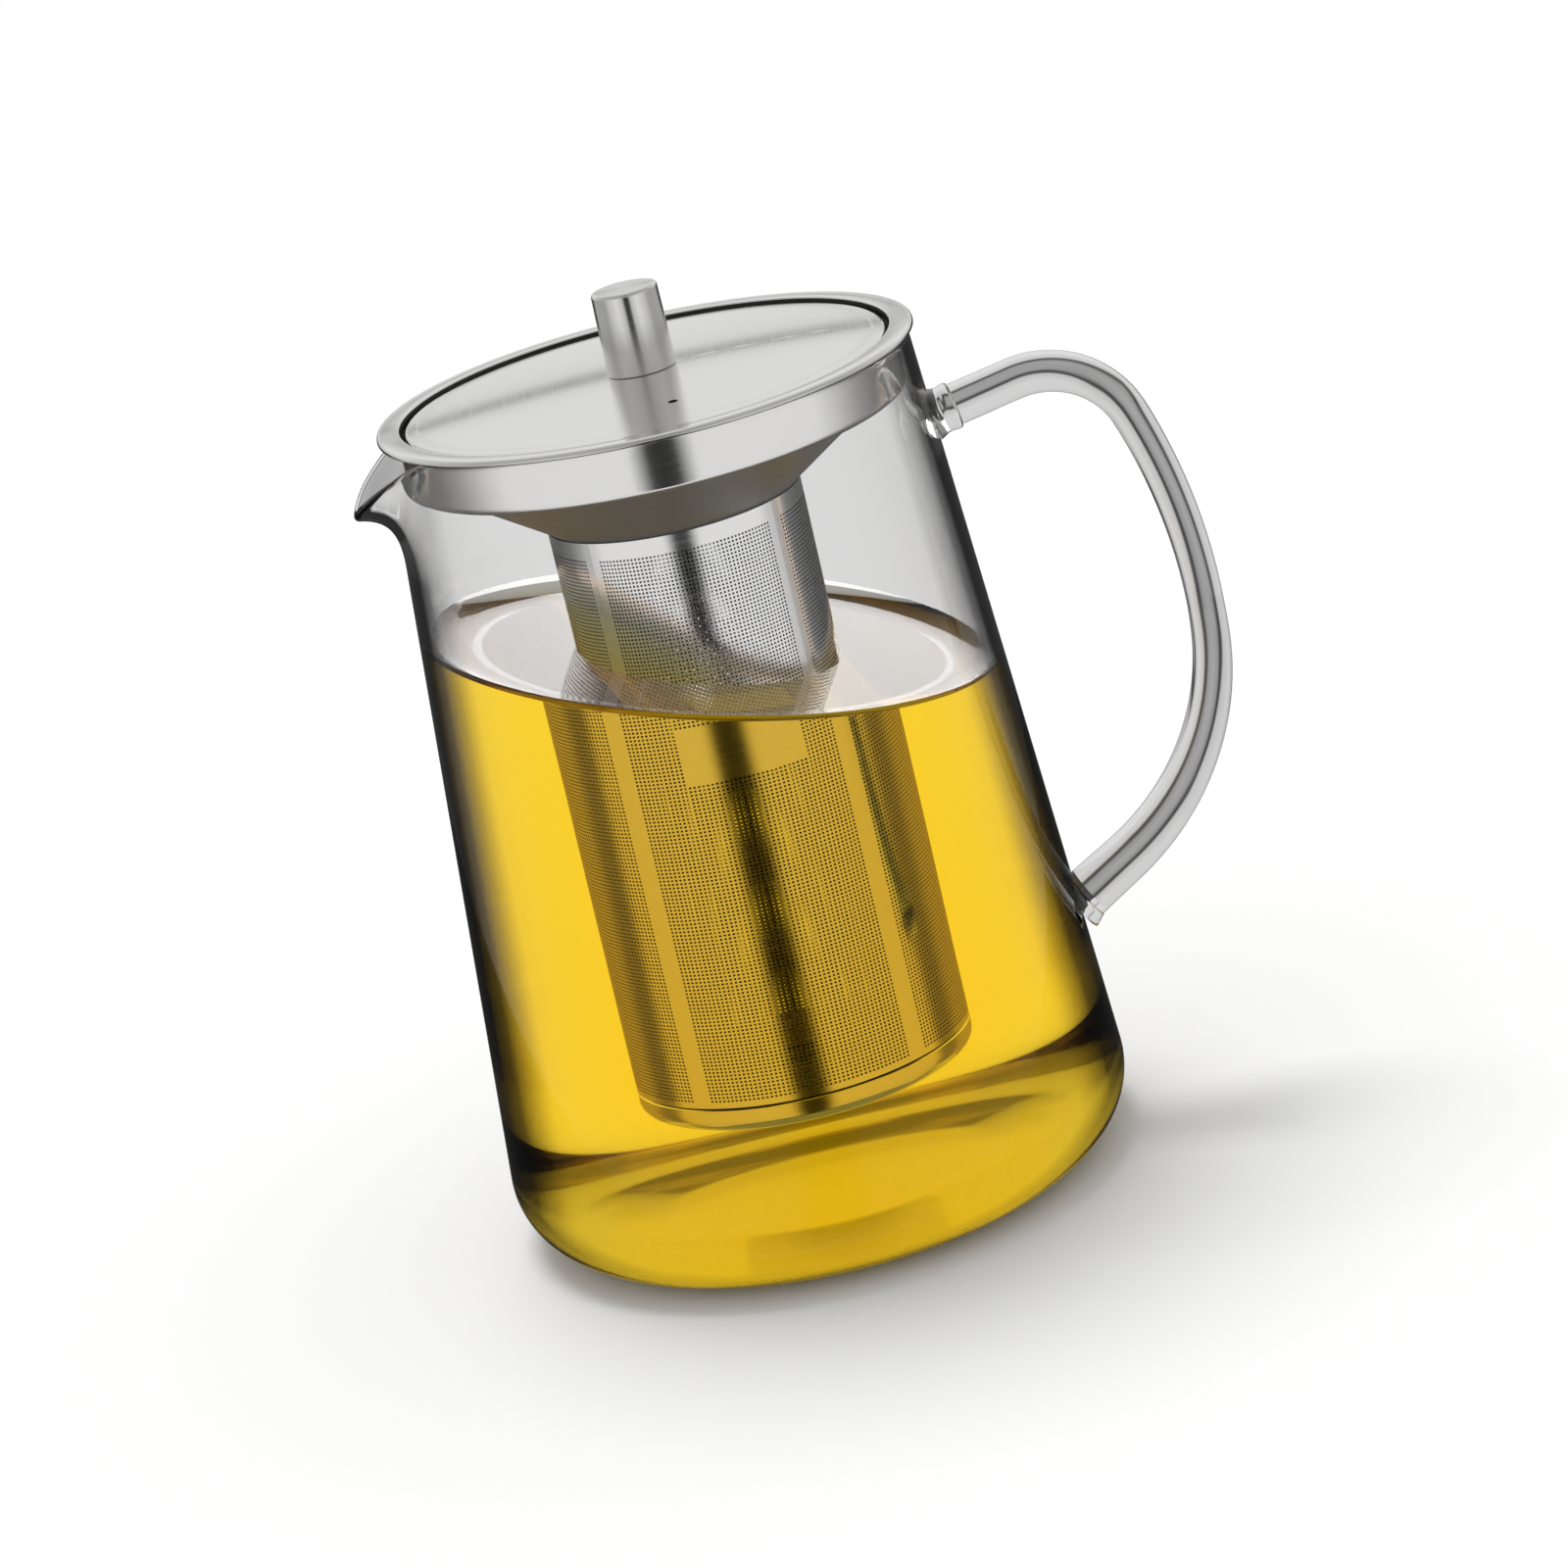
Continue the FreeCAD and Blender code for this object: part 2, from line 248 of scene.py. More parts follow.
def add_object(name, vertices, faces, sharp=None):
    """New smooth mesh object from millimetre points, with edges past the sharp angle kept crisp."""
    mesh = bpy.data.meshes.new(name)
    if isinstance(faces, np.ndarray):
        faces = faces.tolist()
    mesh.from_pydata((np.asarray(vertices) * MM).tolist(), [], faces)
    mesh.update()
    mesh.shade_smooth()
    if sharp is not None:
        mesh.set_sharp_from_angle(angle=math.radians(sharp))
    piece = bpy.data.objects.new(name, mesh)
    bpy.context.scene.collection.objects.link(piece)
    return piece


def skin(name, rings, first_pole, last_pole, sharp=None):
    """Closed surface over rings of points, with a pole closing each end."""
    rings = np.asarray(rings, float)
    count, around = rings.shape[:2]
    vertices = np.concatenate([rings.reshape(-1, 3), [first_pole, last_pole]])
    first = count * around
    last = first - around
    faces = []
    for i in range(count - 1):
        a = i * around
        b = a + around
        for j in range(around):
            k = (j + 1) % around
            faces.append((a + j, a + k, b + k, b + j))
    for j in range(around):
        k = (j + 1) % around
        faces.append((first, k, j))
        faces.append((first + 1, last + j, last + k))
    return add_object(name, vertices, faces, sharp)


def spun(points, angles):
    """Rings of (r, z) points turned to each angle from the lip's direction."""
    points = np.asarray(points)
    around = np.stack([-np.cos(angles), -np.sin(angles)], 1)
    flat = points[:, None, :1] * around[None]
    height = np.broadcast_to(points[:, None, 1:], flat.shape[:2] + (1,))
    return np.concatenate([flat, height], 2)


def lip_angles():
    """Angles round the jug from the lip's middle, closer together across the lip."""
    across = np.radians(np.arange(-LIP_FINE_ANGLE, LIP_FINE_ANGLE, LIP_FINE_STEP))
    rest = np.radians(np.arange(LIP_FINE_ANGLE, 360 - LIP_FINE_ANGLE, LIP_COARSE_STEP))
    return np.concatenate([across, rest])


def lip_middle(angles, shares):
    """Middle of the glass from the lip's root to its edge, as rows of points by share and angle."""
    wrapped = (angles + math.pi) % (2 * math.pi) - math.pi
    u = np.clip(np.abs(wrapped) / LIP_HALF_ANGLE, 0, 1)
    bell = np.cos(u * math.pi / 2) ** 2
    spread = math.sqrt(1 + LIP_PEAK ** 2) - LIP_PEAK
    fall = np.clip(1 - (np.sqrt(u ** 2 + LIP_PEAK ** 2) - LIP_PEAK) / spread, 0, 1) ** LIP_FALL_CURVE
    half = GLASS_WALL / 2
    edge_z = RIM_HEIGHT - half - LIP_DROP * fall
    edge_r = wall_radius(RIM_HEIGHT - half) - WALL_ACROSS / 2 + LIP_REACH * bell
    lean = math.atan(WALL_SLOPE)
    turn = (LIP_TURN + lean) * bell - lean
    root = np.array([wall_radius(LIP_ROOT) - WALL_ACROSS / 2, LIP_ROOT])
    edge = np.stack([edge_r, edge_z], 1)
    pull_root = np.array([-math.sin(lean), math.cos(lean)]) * LIP_PULL
    pull_edge = np.stack([np.sin(turn), np.cos(turn)], 1) * LIP_PULL
    t = np.asarray(shares)[:, None, None]
    curve = ((1 - t) ** 3 * root + 3 * (1 - t) ** 2 * t * (root + pull_root)
             + 3 * (1 - t) * t ** 2 * (edge - pull_edge) + t ** 3 * edge)
    around = np.stack([-np.cos(angles), -np.sin(angles)], 1)
    flat = curve[:, :, :1] * around[None]
    return np.concatenate([flat, curve[:, :, 1:]], 2)


def make_jug():
    """Blown jug as one skin: underside, outside, rounded rim with its pulled lip, inside, floor."""
    angles = lip_angles()
    shares = np.linspace(0, 1, LIP_ROWS)
    middle = lip_middle(angles, shares)
    along = np.gradient(middle, axis=0, edge_order=2)
    wide = np.concatenate([middle[:, -1:], middle, middle[:, :1]], 1)
    across = wide[:, 2:] - wide[:, :-2]
    normal = unit(np.cross(along, across))
    outward = np.sum(normal * middle * np.array([1, 1, 0]), axis=2)[0, 0]
    normal *= math.copysign(1, outward)
    half = GLASS_WALL / 2
    outside = middle + normal * half
    inside = middle - normal * half
    forward = np.cross(unit(across[-1]), normal[-1])
    forward *= np.sign(np.sum(forward * along[-1], axis=1))[:, None]
    cap = [middle[-1] + half * (normal[-1] * math.cos(a) + forward * math.sin(a))
           for a in np.linspace(0, math.pi, RIM_POINTS)]
    under = rounded([
        (0, KICK_HEIGHT, 0),
        (KICK_RADIUS, KICK_HEIGHT, KICK_ROUND),
        (FOOT_RING_RADIUS, 0, KICK_ROUND),
        (FOOT_LINE_RADIUS, 0, HEEL_ROUND),
        (wall_radius(LIP_ROOT - half), LIP_ROOT - half, 0),
    ])
    floor = rounded([
        (wall_radius(LIP_ROOT - half) - WALL_ACROSS, LIP_ROOT - half, 0),
        (wall_radius(FLOOR_THICKNESS) - WALL_ACROSS, FLOOR_THICKNESS, HEEL_ROUND_INSIDE),
        (0, FLOOR_THICKNESS, 0),
    ])
    rings = np.concatenate([
        spun(under[1:], angles), outside[:-1], np.array(cap), inside[-2::-1], spun(floor[:-1], angles)])
    jug = skin("glass_jug", rings, (0, 0, KICK_HEIGHT), (0, 0, FLOOR_THICKNESS))
    # Share of painted edge shade per point: none at the foot, on the lip and round the upper weld.
    height = rings[:len(under) + len(shares) - 2, :, 2]
    wall = np.clip((height - CLEAR_BELOW) / (HEEL_ROUND - CLEAR_BELOW), 0, 1)
    turn = np.abs((angles + math.pi) % (2 * math.pi) - math.pi)
    on_lip = np.clip(LIP_CLEAR_SHARE - turn / LIP_HALF_ANGLE, 0, 1)[None]
    on_lip = on_lip * np.clip((height - LIP_ROOT) / LIP_CLEAR_RISE, 0, 1)
    at_weld = np.clip(WELD_CLEAR_SHARE - (math.pi - turn) / WELD_CLEAR_ANGLE, 0, 1)[None]
    at_weld = at_weld * np.clip((height - LIP_ROOT) / WELD_CLEAR_RISE, 0, 1)
    at_weld = at_weld * np.clip((WELD_CLEAR_TOP - height) / WELD_CLEAR_RISE, 0, 1)
    mark_edge_shade(jug, wall * (1 - on_lip) * (1 - at_weld))
    return jug


def handle_line():
    """Points and headings along the ribbon's middle, from wall to wall."""
    angle = HANDLE_RISE
    z = FLANGE_TOP - HANDLE_JOINT_DROP
    start = np.array([wall_radius(z), z])
    heading = np.array([math.cos(angle), math.sin(angle)])
    points = [start + heading * length for length in np.linspace(0, HANDLE_TOP_RUN, TOP_RUN_POINTS)]
    headings = [heading] * len(points)
    for radius, turn in HANDLE_ARCS:
        centre = points[-1] + np.array([heading[1], -heading[0]]) * radius
        for share in np.linspace(0, 1, ARC_POINTS)[1:]:
            turned = angle - math.radians(turn) * share
            heading = np.array([math.cos(turned), math.sin(turned)])
            points.append(centre + np.array([-heading[1], heading[0]]) * radius)
            headings.append(heading)
        angle -= math.radians(turn)
    point = points[-1]
    to_wall = (wall_radius(point[1]) - point[0]) / (heading[0] + WALL_SLOPE * heading[1])
    for length in np.linspace(0, to_wall, LOW_RUN_POINTS)[1:]:
        points.append(point + heading * length)
        headings.append(heading)
    return np.array(points), np.array(headings)


def oval_ring(point, heading, width, thickness):
    """Oval section across the ribbon, a little squarer than an ellipse."""
    a = np.linspace(0, 2 * math.pi, OVAL_POINTS, endpoint=False)
    c = np.sign(np.cos(a)) * np.abs(np.cos(a)) ** (2 / OVAL_SQUARENESS)
    s = np.sign(np.sin(a)) * np.abs(np.sin(a)) ** (2 / OVAL_SQUARENESS)
    rise = np.array([-heading[1], heading[0]])
    ring = np.zeros((OVAL_POINTS, 3))
    ring[:, 0] = point[0] + rise[0] * s * thickness / 2
    ring[:, 1] = c * width / 2
    ring[:, 2] = point[1] + rise[1] * s * thickness / 2
    return ring


def handle_rings():
    """Length along the ribbon's line with its point, heading, width and thickness there."""
    points, headings = handle_line()
    steps = np.linalg.norm(np.diff(points, axis=0), axis=1)
    length = np.concatenate([[0], np.cumsum(steps)])
    share = length / length[-1]
    stations = [0, GRIP_PLACE, 1]
    thick = np.interp(
        share, stations, [HANDLE_TOP_THICKNESS, HANDLE_GRIP_THICKNESS, HANDLE_LOW_THICKNESS])
    wide = np.interp(share, stations, [HANDLE_WIDTH, HANDLE_WIDTH, HANDLE_LOW_WIDTH])
    return length, points, headings, wide, thick


def make_handle():
    """Solid ribbon from one weld to the other."""
    length, points, headings, wide, thick = handle_rings()
    kept = (length >= UPPER_WELD_LENGTH) & (length <= length[-1] - LOWER_WELD_LENGTH)
    rings = [oval_ring(*row) for row in zip(points[kept], headings[kept], wide[kept], thick[kept])]
    first = np.mean(rings[0], axis=0)
    last = np.mean(rings[-1], axis=0)
    return skin("glass_handle_ribbon", rings, first, last, sharp=50)


def make_weld(name, point, heading, length, width, thickness, profile):
    """Gather of glass from just inside the wall to just over the ribbon's end.

    The profile gives the share of the way from the wall, and how far the gather stands proud there.
    """
    reach = length + WELD_INTO_WALL + WELD_OVER_RIBBON
    rings = []
    for share, proud in profile:
        middle = point + heading * (share * reach - WELD_INTO_WALL)
        rings.append(oval_ring(middle, heading, width + 2 * proud, thickness + 2 * proud))
    return skin(name, rings, np.mean(rings[0], axis=0), np.mean(rings[-1], axis=0), sharp=50)


def make_welds():
    """The chunky gather at the ribbon's upper end and the thin foot at its lower end."""
    _, points, headings, wide, thick = handle_rings()
    lumps = [(0, 1.1), (0.1, 1.0), (0.22, 0.75), (0.36, 0.45), (0.5, 0.35), (0.64, 0.45),
             (0.78, 0.6), (0.9, 0.5), (0.97, 0.2), (1, -0.4)]
    upper = make_weld(
        "upper_glass_weld", points[0], headings[0], UPPER_WELD_LENGTH, wide[0], thick[0], lumps)
    foot = [(0, 1.0), (0.2, 0.85), (0.45, 0.6), (0.7, 0.35), (0.9, 0.1), (1, -0.4)]
    lower = make_weld(
        "lower_glass_weld", points[-1], -headings[-1], LOWER_WELD_LENGTH, wide[-1], thick[-1], foot)
    return upper, lower


def make_tea():
    """Tea as one closed body that reaches a little into the glass, with a meniscus at the wall."""
    angles = ROUND_ANGLES
    lap = TEA_INTO_GLASS
    start = TEA_WALL_START
    floor = FLOOR_THICKNESS - lap
    bottom = rounded([
        (0, floor, 0),
        (wall_radius(FLOOR_THICKNESS) - WALL_ACROSS + lap, floor, HEEL_ROUND_INSIDE + lap),
        (wall_radius(start) - WALL_ACROSS + lap, start, 0),
    ])
    around = np.stack([-np.cos(angles), -np.sin(angles)], 1)
    inside = wall_radius(TEA_LEVEL) - WALL_ACROSS
    inside = inside / (1 - WALL_SLOPE * TEA_SLOPE * around[:, 0])

    def ring(radius, height):
        """Points at each angle's radius and height."""
        flat = around * radius[:, None]
        return np.concatenate([flat, height[:, None]], 1)

    def surface(radius):
        """Height of the sloping surface at each angle's radius."""
        return TEA_LEVEL - TEA_SLOPE * radius * around[:, 0]

    rings = list(spun(bottom[1:], angles))
    first_wall_row = len(rings) - 1
    edge = surface(inside) + MENISCUS
    for share in np.linspace(0, 1, TEA_WALL_ROWS)[1:]:
        height = start + (edge - start) * share
        rings.append(ring(wall_radius(height) - WALL_ACROSS + lap, height))
    last_wall_row = len(rings) - 1
    for away in MENISCUS_RINGS:
        radius = wall_radius(edge) - WALL_ACROSS - away
        rings.append(ring(radius, surface(radius) + MENISCUS * math.exp(-away / MENISCUS_REACH)))
    for share in SURFACE_SHARES:
        rings.append(ring(inside * share, surface(inside * share)))
    tea = skin("tea", rings, (0, 0, floor), (0, 0, TEA_LEVEL), sharp=40)
    # Only the tea's faces against the glass wall take painted edge shade.
    against_wall = np.zeros(len(rings))
    against_wall[first_wall_row:last_wall_row + 1] = 1
    mark_edge_shade(tea, np.repeat(against_wall, len(angles)))
    return tea


def make_collar():
    """Drawn collar with a crested flange; its funnel and inside are left satin, and a ring just inside
    its mouth takes near-black steel as painted shade of the gap under the lid.
    """
    under = FLANGE_TOP - FLANGE_THICKNESS
    bottom = FLANGE_TOP - COLLAR_DEPTH
    funnel = unit(np.array([COLLAR_RADIUS - LEDGE_WIDTH - SPIGOT_RADIUS, bottom - STRAINER_TOP]))
    slope = funnel[1] / funnel[0]
    inner = np.array([SPIGOT_RADIUS, STRAINER_TOP]) + COLLAR_SHEET * np.array([-funnel[1], funnel[0]])
    spigot_inside = SPIGOT_RADIUS - COLLAR_SHEET
    seat = bottom + COLLAR_SHEET
    shown = rounded([
        (SPIGOT_RADIUS, STRAINER_TOP - SPIGOT_LENGTH, 0),
        (SPIGOT_RADIUS, STRAINER_TOP, FUNNEL_BEND),
        (COLLAR_RADIUS - LEDGE_WIDTH, bottom, FUNNEL_BEND),
        (COLLAR_RADIUS, bottom, COLLAR_BEND),
        (COLLAR_RADIUS, under, 0),
        (FLANGE_RADIUS, under, FLANGE_HEM),
        (FLANGE_RADIUS, FLANGE_TOP, FLANGE_CREST),
        (COLLAR_RADIUS - COLLAR_SHEET, FLANGE_TOP, MOUTH_ROUND),
        (COLLAR_RADIUS - COLLAR_SHEET, FLANGE_TOP - MOUTH_EDGE, 0),
    ], COLLAR_STEP)
    hidden = rounded([
        (COLLAR_RADIUS - COLLAR_SHEET, FLANGE_TOP - MOUTH_EDGE, 0),
        (COLLAR_RADIUS - COLLAR_SHEET, FLANGE_TOP - MOUTH_SHADE, 0),
        (COLLAR_RADIUS - COLLAR_SHEET, seat, COLLAR_BEND - COLLAR_SHEET),
        (inner[0] + (seat - inner[1]) / slope, seat, FUNNEL_BEND + COLLAR_SHEET),
        (spigot_inside, inner[1] + (spigot_inside - inner[0]) * slope, FUNNEL_BEND + COLLAR_SHEET),
        (spigot_inside, STRAINER_TOP - SPIGOT_LENGTH, 0),
    ], COLLAR_STEP)
    rings = spun(np.concatenate([shown, hidden[1:]]), ROUND_ANGLES)
    count, around = rings.shape[:2]
    place = np.arange(count * around).reshape(count, around)
    next_row = np.roll(place, -1, axis=0)
    faces = np.stack([place, np.roll(place, -1, axis=1), np.roll(next_row, -1, axis=1), next_row], 2)
    collar = add_object("drawn_collar", rings.reshape(-1, 3), faces.reshape(-1, 4), sharp=30)
    finish = np.where(rings[:, 0, 2] < bottom + COLLAR_BEND / 2, SATIN, POLISHED)
    # Painted shade: the ring from the mouth's edge down to the shade depth is near-black.
    finish[len(shown) - 1] = SHADE_PAINTED
    finish[len(shown):] = SATIN
    collar.data.polygons.foreach_set("material_index", np.repeat(finish, around))
    return collar


def make_strainer_panel(index):
    """Quarter of the strainer's sheet, from one plain strip to the next, with its square holes."""
    start = FIRST_STRIP + index * 2 * math.pi / PANELS
    end = start + 2 * math.pi / PANELS
    first_row = STRAINER_BOTTOM + STRAINER_BOTTOM_BAND
    last_row = STRAINER_TOP - STRAINER_TOP_BAND
    hole_turns = np.linspace(start + STRIP_HALF_ANGLE, end - STRIP_HALF_ANGLE, HOLE_COLUMNS + 1)
    hole_rises = np.linspace(first_row, last_row, HOLE_ROWS + 1)
    turn = np.concatenate([[start], hole_turns, [end]])
    rise = np.concatenate([[STRAINER_BOTTOM], hole_rises, [STRAINER_TOP]])
    columns = len(turn) - 1
    rows = len(rise) - 1
    holed = np.zeros((rows, columns), bool)
    holed[1:-1, 1:-1] = True
    middle_turn = (turn[1:] + turn[:-1]) / 2
    middle_rise = (rise[1:] + rise[:-1]) / 2
    off_middle = (middle_turn - PLATE_ANGLE + math.pi) % (2 * math.pi) - math.pi
    in_width = np.abs(off_middle) < PLATE_WIDTH / 2 / STRAINER_RADIUS
    in_height = np.abs(middle_rise - PLATE_MIDDLE) < PLATE_HEIGHT / 2
    holed &= ~(in_height[:, None] & in_width[None, :])

    i, j = np.nonzero(holed)
    low = (1 - HOLE_SHARE) / 2
    high = (1 + HOLE_SHARE) / 2
    across = turn[j + 1] - turn[j]
    up = rise[i + 1] - rise[i]
    hole_turn = np.stack([turn[j] + across * s for s in (low, high, high, low)], 1)
    hole_rise = np.stack([rise[i] + up * s for s in (low, low, high, high)], 1)
    grid_turn, grid_rise = np.meshgrid(turn, rise)
    all_turn = np.concatenate([grid_turn.ravel(), hole_turn.ravel()])
    all_rise = np.concatenate([grid_rise.ravel(), hole_rise.ravel()])
    vertices = [np.stack([r * np.sin(all_turn), -r * np.cos(all_turn), all_rise], 1)
                for r in (STRAINER_RADIUS, STRAINER_RADIUS - STRAINER_SHEET)]
    inner = len(all_turn)

    corner = np.arange(len(grid_turn.ravel())).reshape(rows + 1, columns + 1)
    hole = (corner.size + np.arange(4 * len(i))).reshape(-1, 4)
    p, q = np.nonzero(~holed)
    plain = np.stack([corner[p, q], corner[p, q + 1], corner[p + 1, q + 1], corner[p + 1, q]], 1)
    around = np.stack([corner[i, j], corner[i, j + 1], corner[i + 1, j + 1], corner[i + 1, j]], 1)
    faces = [plain, plain[:, ::-1] + inner]
    for k in range(4):
        n = (k + 1) % 4
        frame_side = np.stack([around[:, k], around[:, n], hole[:, n], hole[:, k]], 1)
        faces += [frame_side, frame_side[:, ::-1] + inner]
        faces.append(np.stack([hole[:, k], hole[:, n], hole[:, n] + inner, hole[:, k] + inner], 1))
    border = np.concatenate([
        corner[0, ::-1][:-1], corner[:, 0][:-1], corner[-1, :-1], corner[::-1, -1][:-1]])
    after = np.roll(border, -1)
    faces.append(np.stack([border, after, after + inner, border + inner], 1))
    name = f"strainer_panel_{index + 1}"
    panel = add_object(name, np.concatenate(vertices), np.concatenate(faces), sharp=30)
    # The sheet's inner faces take near-black steel: painted shade for the tube's dark inside.
    inward = [np.full(len(part), int((part >= inner).any())) for part in faces]
    panel.data.polygons.foreach_set("material_index", np.concatenate(inward))
    return panel


def principled(name, **values):
    """Material with one Principled shader whose sockets are set directly."""
    material = bpy.data.materials.new(name)
    material.use_nodes = True
    tree = material.node_tree
    shader = tree.nodes["Principled BSDF"]
    for socket, value in values.items():
        shader.inputs[socket.replace("_", " ")].default_value = value
    return material, tree, shader


def absorb(tree, color, density):
    """Colour that light takes on along its way through the material."""
    volume = tree.nodes.new("ShaderNodeVolumeAbsorption")
    volume.inputs["Color"].default_value = (*color, 1)
    volume.inputs["Density"].default_value = density
    tree.links.new(volume.outputs["Volume"], tree.nodes["Material Output"].inputs["Volume"])


def paint_edge_shade(tree, shader, stops):
    """Painted shade at glass edges: the colour darkens where the wall is seen at a slant, standing in
    for the dark edges that glass shows.
    """
    weight = tree.nodes.new("ShaderNodeLayerWeight")
    edge_shade_ramp = color_ramp(tree, stops)
    tree.links.new(weight.outputs["Facing"], edge_shade_ramp.inputs["Fac"])
    share = tree.nodes.new("ShaderNodeAttribute")
    share.attribute_name = EDGE_SHADE_SHARE
    side = tree.nodes.new("ShaderNodeNewGeometry")
    from_outside = tree.nodes.new("ShaderNodeMath")
    from_outside.operation = "SUBTRACT"
    tree.links.new(share.outputs["Fac"], from_outside.inputs[0])
    tree.links.new(side.outputs["Backfacing"], from_outside.inputs[1])
    from_outside.use_clamp = True
    mix = tree.nodes.new("ShaderNodeMix")
    mix.data_type = "RGBA"
    mix.inputs["A"].default_value = (1, 1, 1, 1)
    tree.links.new(from_outside.outputs[0], mix.inputs["Factor"])
    tree.links.new(edge_shade_ramp.outputs["Color"], mix.inputs["B"])
    tree.links.new(mix.outputs["Result"], shader.inputs["Base Color"])


def mark_edge_shade(piece, shares):
    """How much of each ring's points is wall, which sets how much painted edge shade they take."""
    share = piece.data.attributes.new(EDGE_SHADE_SHARE, "FLOAT", "POINT")
    values = np.zeros(len(piece.data.vertices), np.float32)
    values[:shares.size] = shares.ravel()
    share.data.foreach_set("value", values)


def color_ramp(tree, stops):
    """Ramp through (position, colour) stops."""
    ramp = tree.nodes.new("ShaderNodeValToRGB")
    elements = ramp.color_ramp.elements
    elements.remove(elements[-1])
    elements[0].position = stops[0][0]
    elements[0].color = (*stops[0][1], 1)
    for position, color in stops[1:]:
        elements.new(position).color = (*color, 1)
    return ramp


def grey(level):
    """Neutral colour of one level."""
    return (level, level, level)


def clear_material(name, ior, color, density, stops=None):
    """Glass or tea that colours light along its way, with painted shade at its edges where stops are
    given.

    Tea and jug overlap a little, so their faint mirror keeps out a second, false reflection there.
    """
    material, tree, shader = principled(
        name, Base_Color=(1, 1, 1, 1), Roughness=0.0, IOR=ior, Transmission_Weight=1.0)
    if stops:
        shader.inputs["Specular Tint"].default_value = (*grey(FAINT_MIRROR), 1)
        paint_edge_shade(tree, shader, stops)
    absorb(tree, color, density)
    return material


def grain(tree, scale, turned=False):
    """Noise drawn out into the marks that a tool leaves: straight strokes, or rings round the axis."""
    where = tree.nodes.new("ShaderNodeTexCoord")
    stretch = tree.nodes.new("ShaderNodeMapping")
    stretch.inputs["Scale"].default_value = scale
    source = where.outputs["Object"]
    if turned:
        split = tree.nodes.new("ShaderNodeSeparateXYZ")
        tree.links.new(source, split.inputs[0])
        flat = tree.nodes.new("ShaderNodeVectorMath")
        flat.operation = "MULTIPLY"
        flat.inputs[1].default_value = (1, 1, 0)
        tree.links.new(source, flat.inputs[0])
        radius = tree.nodes.new("ShaderNodeVectorMath")
        radius.operation = "LENGTH"
        tree.links.new(flat.outputs["Vector"], radius.inputs[0])
        slant = tree.nodes.new("ShaderNodeMath")
        tree.links.new(radius.outputs["Value"], slant.inputs[0])
        tree.links.new(split.outputs["Z"], slant.inputs[1])
        joined = tree.nodes.new("ShaderNodeCombineXYZ")
        tree.links.new(split.outputs["X"], joined.inputs["X"])
        tree.links.new(split.outputs["Y"], joined.inputs["Y"])
        tree.links.new(slant.outputs[0], joined.inputs["Z"])
        source = joined.outputs[0]
    tree.links.new(source, stretch.inputs["Vector"])
    noise = tree.nodes.new("ShaderNodeTexNoise")
    noise.inputs["Scale"].default_value = 1.0
    noise.inputs["Detail"].default_value = 5.0
    noise.inputs["Roughness"].default_value = 0.6
    tree.links.new(stretch.outputs[0], noise.inputs["Vector"])
    return noise


def steel_material(name, color, scale, rough, depth, turned=False, flat=False, metallic=1.0):
    """Steel whose grain shows in its roughness and, very shallow, in its surface.

    Turned steel mirrors in streaks across the rings round its axis, and flat brushed steel in
    streaks across its straight strokes.
    """
    material, tree, shader = principled(name, Base_Color=(*color, 1), Metallic=metallic)
    if turned or flat:
        shader.inputs["Anisotropic"].default_value = 0.9
        shader.inputs["Anisotropic Rotation"].default_value = 0.25 if turned else 0.0
        tangent = tree.nodes.new("ShaderNodeTangent")
        tangent.direction_type = "RADIAL"
        tangent.axis = "Z" if turned else "Y"
        tree.links.new(tangent.outputs["Tangent"], shader.inputs["Tangent"])
    noise = grain(tree, scale, turned)
    spread = tree.nodes.new("ShaderNodeMapRange")
    spread.inputs["From Min"].default_value = 0.3
    spread.inputs["From Max"].default_value = 0.7
    spread.inputs["To Min"].default_value = rough[0]
    spread.inputs["To Max"].default_value = rough[1]
    tree.links.new(noise.outputs["Fac"], spread.inputs["Value"])
    tree.links.new(spread.outputs["Result"], shader.inputs["Roughness"])
    bump = tree.nodes.new("ShaderNodeBump")
    bump.inputs["Strength"].default_value = 1.0
    bump.inputs["Distance"].default_value = depth * MM
    tree.links.new(noise.outputs["Fac"], bump.inputs["Height"])
    tree.links.new(bump.outputs["Normal"], shader.inputs["Normal"])
    return material


